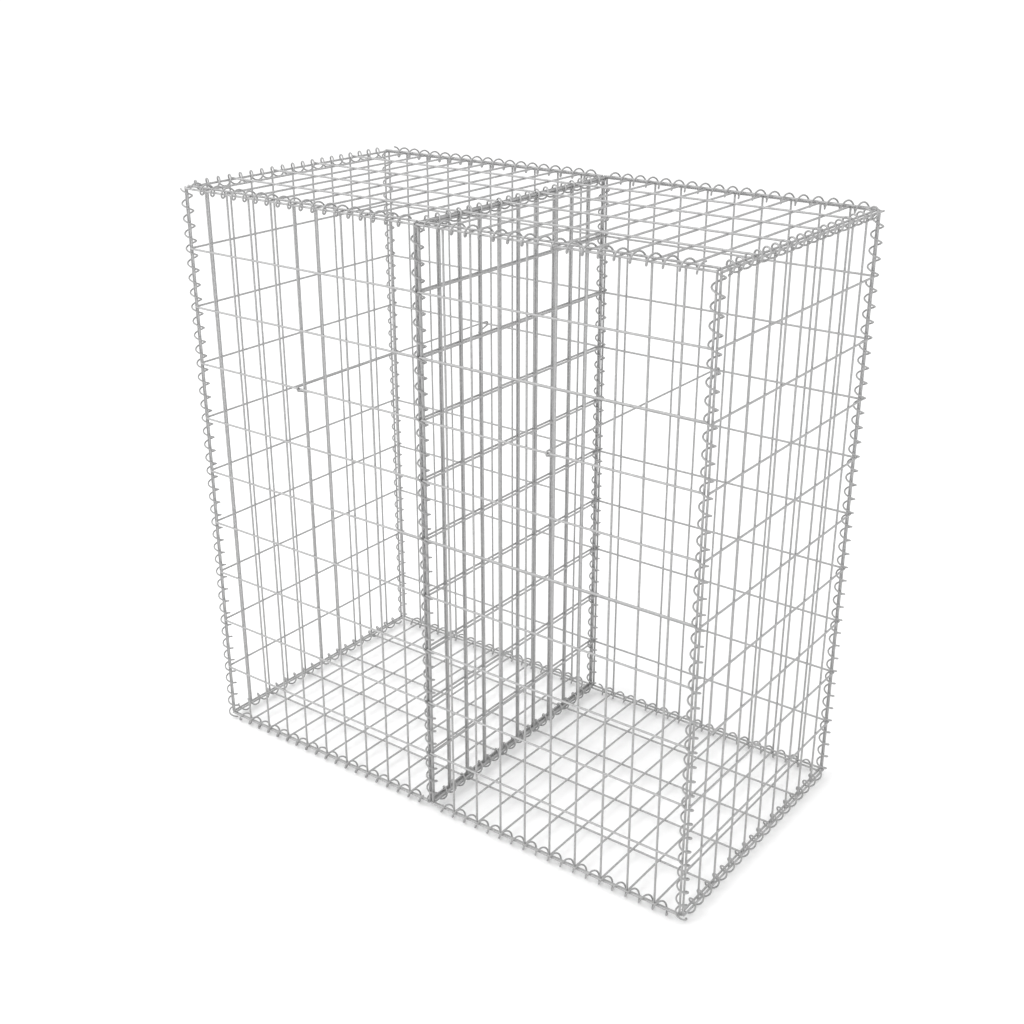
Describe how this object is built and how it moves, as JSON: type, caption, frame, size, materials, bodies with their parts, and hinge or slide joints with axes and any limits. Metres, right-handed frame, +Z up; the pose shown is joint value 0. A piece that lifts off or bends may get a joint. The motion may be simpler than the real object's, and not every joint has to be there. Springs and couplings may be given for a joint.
{
  "type": "empty two-bay gabion basket",
  "caption": "Cuboid cage of welded wire mesh with a middle divider, laced along every edge with wire spirals, for a stone-filled retaining wall.",
  "frame": {"origin": "on the ground, under the middle of the base", "axes": "+X along the basket's length, +Y from front to back, +Z up"},
  "size_m": [1.0192, 0.521, 1.0266],
  "materials": {
    "mesh_wire": "hot-dip galvanised welded wire",
    "spiral_wire": "galvanised spring wire",
    "tie_wire": "galvanised wire"
  },
  "bodies": {
    "root": {"back_left_panel": "mesh_wire", "back_left_spiral": "spiral_wire", "back_middle_spiral": "spiral_wire", "back_right_panel": "mesh_wire", "back_right_spiral": "spiral_wire", "bottom_back_left_spiral": "spiral_wire", "bottom_back_right_spiral": "spiral_wire", "bottom_divider_spiral": "spiral_wire", "bottom_front_left_spiral": "spiral_wire", "bottom_front_right_spiral": "spiral_wire", "bottom_left_panel": "mesh_wire", "bottom_left_spiral": "spiral_wire", "bottom_right_panel": "mesh_wire", "bottom_right_spiral": "spiral_wire", "divider_left_panel": "mesh_wire", "divider_right_panel": "mesh_wire", "front_left_panel": "mesh_wire", "front_left_spiral": "spiral_wire", "front_middle_spiral": "spiral_wire", "front_right_panel": "mesh_wire", "front_right_spiral": "spiral_wire", "left_bay_tie": "tie_wire", "left_end_panel": "mesh_wire", "lid_back_left_spiral": "spiral_wire", "lid_back_right_spiral": "spiral_wire", "lid_divider_spiral": "spiral_wire", "lid_front_left_spiral": "spiral_wire", "lid_front_right_spiral": "spiral_wire", "lid_left_panel": "mesh_wire", "lid_left_spiral": "spiral_wire", "lid_right_panel": "mesh_wire", "lid_right_spiral": "spiral_wire", "right_bay_tie": "tie_wire", "right_end_panel": "mesh_wire"}
  },
  "joints": []
}
